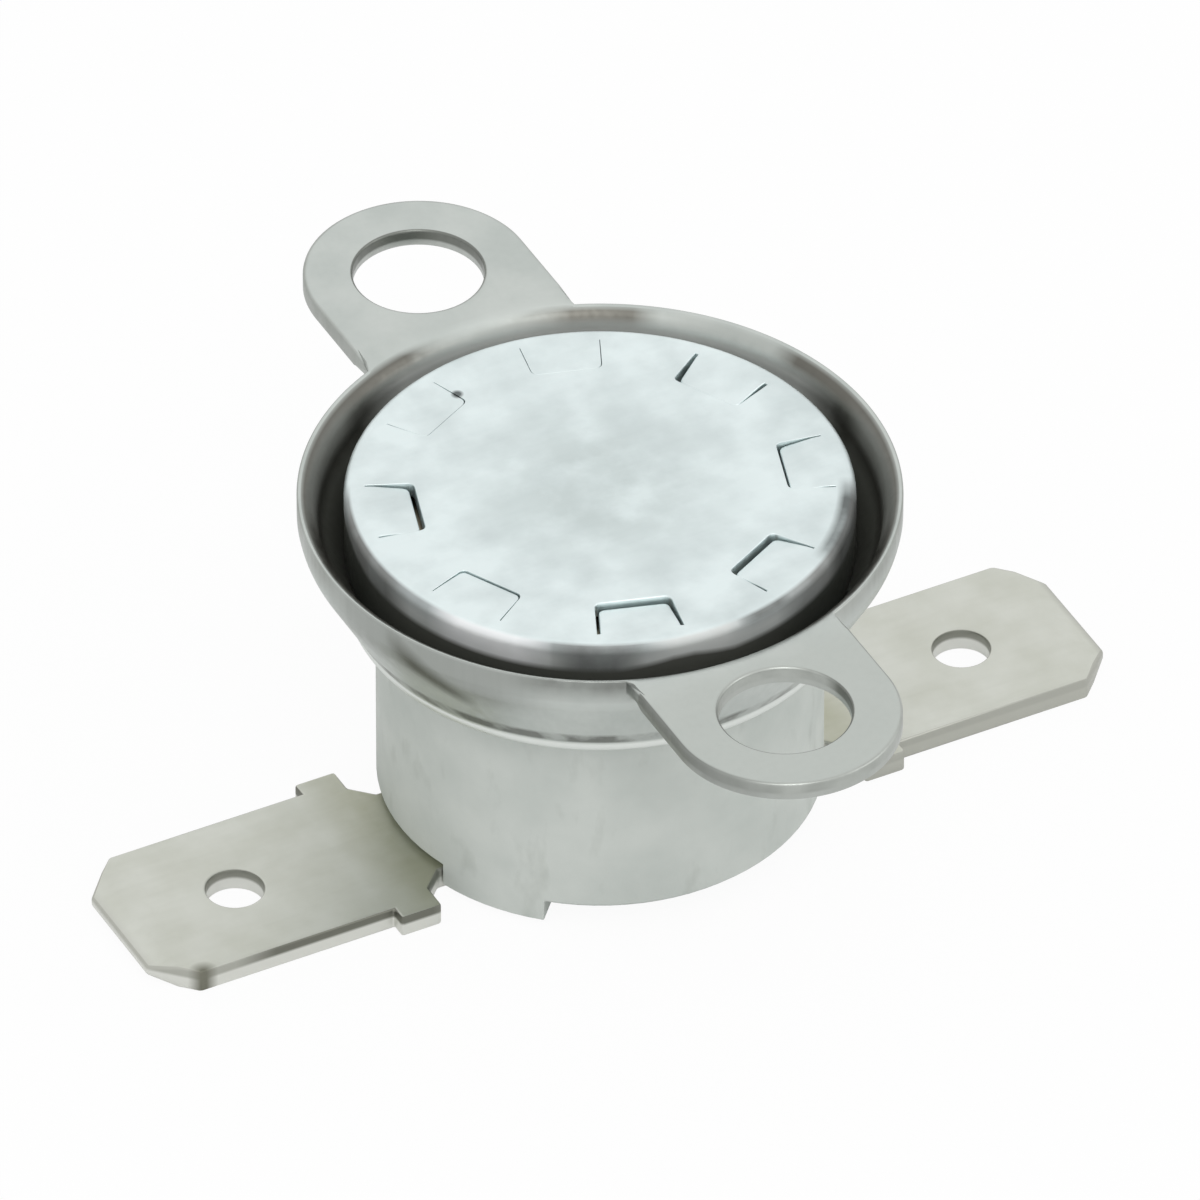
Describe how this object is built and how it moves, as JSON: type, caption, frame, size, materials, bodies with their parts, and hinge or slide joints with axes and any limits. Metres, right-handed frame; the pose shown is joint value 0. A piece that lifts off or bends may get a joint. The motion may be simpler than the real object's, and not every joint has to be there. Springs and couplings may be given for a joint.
{
  "type": "thermal cutout",
  "caption": "Snap-disc thermal cutout: lanced sensing cap in a drawn cup bracket with screw ears, round ceramic base and flat push-on tabs.",
  "frame": {"origin": "centre of the flat sensing face of the cap", "axes": "+Z out of the sensing face, X along the tabs, Y along the bracket's ears"},
  "size_m": [0.0336, 0.0316, 0.012],
  "materials": {
    "cap_aluminium": "satin sheet, rolled and drawn",
    "bracket_steel": "plated drawn sheet, fine brushed",
    "ceramic": "unglazed, fine grained",
    "disc_bimetal": "rolled strip",
    "spring_copper": "rolled spring strip",
    "contact_silver": "satin",
    "brass": "rolled strip",
    "terminal_nickel": "nickel plated, stamped",
    "rivet_nickel": "nickel plated"
  },
  "bodies": {
    "housing": {"sensing_cap": "cap_aluminium", "mounting_bracket": "bracket_steel", "bimetal_disc": "disc_bimetal", "guide_plate": "ceramic", "base": "ceramic", "fixed_contact": "contact_silver", "fixed_contact_plate": "brass", "arm_spacer": "brass", "terminal_left": "terminal_nickel", "terminal_right": "terminal_nickel", "terminal_rivet_left": "rivet_nickel", "terminal_rivet_right": "rivet_nickel"},
    "switch_arm": {"contact_arm": "spring_copper", "moving_contact": "contact_silver"},
    "pin": {"transfer_pin": "ceramic"}
  },
  "joints": [
    {"name": "arm_flex", "type": "hinge", "parent": "housing", "child": "switch_arm", "pos_m": [0.004, 0, -0.00771], "axis": [0, -1, 0], "range_deg": [0, 5.2], "stiffness_Nm_per_rad": 0.02, "springref_deg": -8.59},
    {"name": "pin_slide", "type": "slide", "parent": "housing", "child": "pin", "axis": [0, 0, -1], "range_m": [0, 0.00037], "deforming": ["bimetal_disc"]}
  ],
  "couplings": [
    {"joint": "pin_slide", "follows": "arm_flex", "m_per_rad": 0.004}
  ]
}
